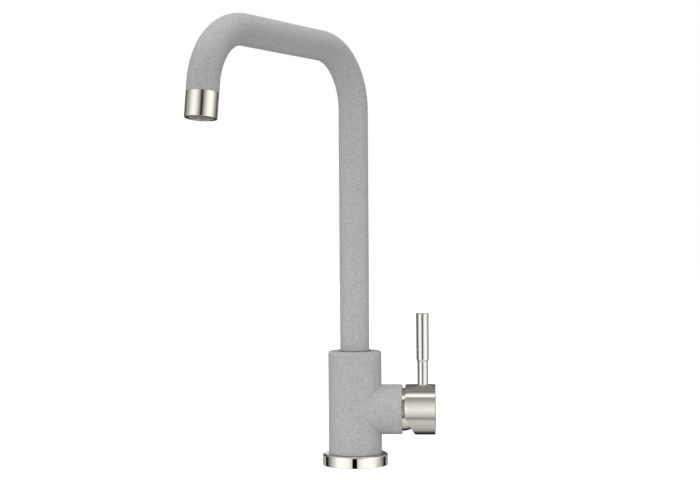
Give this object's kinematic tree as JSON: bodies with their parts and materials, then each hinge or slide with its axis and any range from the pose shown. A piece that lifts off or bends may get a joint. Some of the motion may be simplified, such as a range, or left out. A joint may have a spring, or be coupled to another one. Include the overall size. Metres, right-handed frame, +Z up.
{
  "type": "kitchen mixer tap",
  "caption": "Tall side-lever kitchen mixer tap with a square-bent swivelling spout, a speckled coat and bright nickel trim.",
  "frame": {"origin": "centre of the base ring's underside, on the worktop", "axes": "+Z up along the body, +X out along the branch that carries the lever, -Y towards the viewer of the picture"},
  "size_m": [0.1797, 0.223, 0.363],
  "materials": {
    "coated_metal": "speckled granite-effect coat, light grey, matt",
    "polished_nickel": "bright nickel plating",
    "brushed_nickel": "turned and finely brushed nickel",
    "black_rubber": "matt",
    "dark_plastic": "matt",
    "white_plastic": "moulded acetal",
    "steel": "plain stainless steel",
    "brass": "turned brass",
    "ceramic": "lapped alumina",
    "grey_plastic": "moulded plug"
  },
  "bodies": {
    "tap_body": {"mixer_body": "coated_metal", "base_ring": "polished_nickel", "base_seal": "black_rubber", "upper_bearing": "dark_plastic", "spout_set_screw": "steel", "cartridge_base": "white_plastic", "port_seals": "black_rubber", "cartridge_housing": "white_plastic", "fixed_disc": "ceramic", "cartridge_nut": "brass", "dome_cover": "polished_nickel"},
    "spout": {"spout_tube": "coated_metal", "spout_shank": "brass", "lower_bearing": "white_plastic", "spout_o_rings": "black_rubber", "outlet_bush": "brass", "aerator_housing": "polished_nickel", "aerator_washer": "black_rubber", "aerator_screen": "steel", "aerator_insert": "white_plastic"},
    "rotor": {"cartridge_rotor": "white_plastic", "spindle_pin": "steel"},
    "disc_slider": {"moving_disc": "ceramic", "disc_carrier": "white_plastic"},
    "lever": {"cartridge_spindle": "steel", "handle_cap": "brushed_nickel", "handle_rod": "polished_nickel", "handle_set_screw": "steel", "handle_plug": "grey_plastic"}
  },
  "joints": [
    {"name": "spout_swivel", "type": "hinge", "parent": "tap_body", "child": "spout", "pos_m": [0, 0, 0.09], "axis": [0, 0, 1], "continuous": true},
    {"name": "lever_temperature", "type": "hinge", "parent": "tap_body", "child": "rotor", "pos_m": [0.0399, 0, 0.0465], "axis": [1, 0, 0], "range_deg": [-50, 50]},
    {"name": "lever_flow", "type": "hinge", "parent": "rotor", "child": "lever", "pos_m": [0.0399, 0, 0.0465], "axis": [0, 1, 0], "range_deg": [0, 25]},
    {"name": "disc_slide", "type": "slide", "parent": "rotor", "child": "disc_slider", "axis": [0, 0, 1], "range_m": [0, 0.0058]}
  ],
  "couplings": [
    {"joint": "disc_slide", "follows": "lever_flow", "m_per_rad": 0.013}
  ]
}
